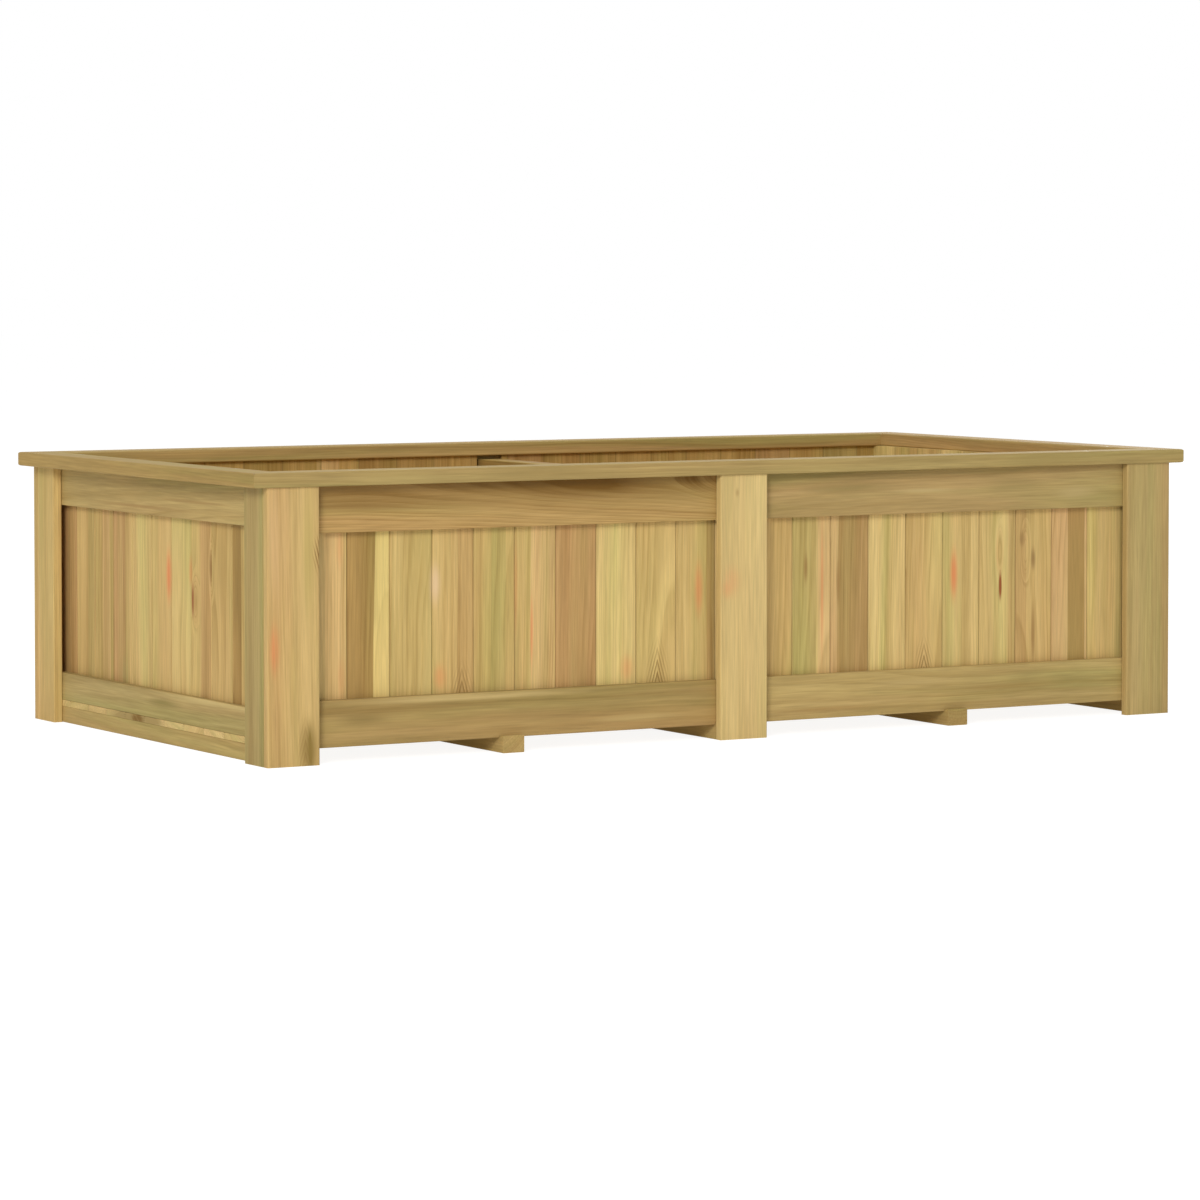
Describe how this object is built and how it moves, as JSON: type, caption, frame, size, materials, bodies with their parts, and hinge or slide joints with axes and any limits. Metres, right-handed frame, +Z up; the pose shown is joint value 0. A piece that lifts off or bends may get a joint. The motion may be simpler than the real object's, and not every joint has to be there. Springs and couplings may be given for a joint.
{
  "type": "wooden planter box",
  "caption": "Long rectangular garden planter box of treated pine: upright matched-board walls between rails and cover boards, a flat mitred rim and a cross brace.",
  "frame": {"origin": "middle of the footprint on the ground, under the centre bearer", "axes": "+Z up; X along the length, +X to the right as seen from the front; +Y from the front to the back"},
  "size_m": [1.544, 0.79, 0.395],
  "materials": {
    "rim_timber": "planed, pressure treated, unpainted",
    "post_timber": "planed, pressure treated, unpainted",
    "rail_timber": "planed, pressure treated, unpainted",
    "wall_board_timber": "planed, pressure treated, unpainted",
    "floor_board_timber": "planed, pressure treated, unpainted",
    "batten_timber": "planed, pressure treated, unpainted",
    "screw_steel": "yellow zinc plated",
    "nail_steel": "galvanised"
  },
  "bodies": {
    "root": {"rim_front": "rim_timber", "rim_back": "rim_timber", "rim_left": "rim_timber", "rim_right": "rim_timber", "centre_post_front": "post_timber", "centre_post_back": "post_timber", "corner_face_board_front_left": "post_timber", "corner_face_board_front_right": "post_timber", "corner_face_board_back_left": "post_timber", "corner_face_board_back_right": "post_timber", "corner_side_board_front_left": "post_timber", "corner_side_board_front_right": "post_timber", "corner_side_board_back_left": "post_timber", "corner_side_board_back_right": "post_timber", "upper_rail_front_left": "rail_timber", "upper_rail_front_right": "rail_timber", "upper_rail_back_left": "rail_timber", "upper_rail_back_right": "rail_timber", "lower_rail_front_left": "rail_timber", "lower_rail_front_right": "rail_timber", "lower_rail_back_left": "rail_timber", "lower_rail_back_right": "rail_timber", "upper_rail_left_end": "rail_timber", "upper_rail_right_end": "rail_timber", "lower_rail_left_end": "rail_timber", "lower_rail_right_end": "rail_timber", "front_wall_boards": "wall_board_timber", "back_wall_boards": "wall_board_timber", "left_end_boards": "wall_board_timber", "right_end_boards": "wall_board_timber", "floor_board_1": "floor_board_timber", "floor_board_2": "floor_board_timber", "floor_board_3": "floor_board_timber", "floor_board_4": "floor_board_timber", "floor_board_5": "floor_board_timber", "floor_board_6": "floor_board_timber", "floor_board_7": "floor_board_timber", "floor_board_8": "floor_board_timber", "floor_board_9": "floor_board_timber", "floor_board_10": "floor_board_timber", "floor_board_11": "floor_board_timber", "bearer_left_end": "batten_timber", "bearer_left_quarter": "batten_timber", "bearer_centre": "batten_timber", "bearer_right_quarter": "batten_timber", "bearer_right_end": "batten_timber", "cross_brace": "batten_timber", "rim_screws": "screw_steel", "post_screws": "screw_steel", "brace_screws": "screw_steel", "floor_nails": "nail_steel", "long_wall_nails": "nail_steel", "end_wall_nails": "nail_steel"}
  },
  "joints": []
}
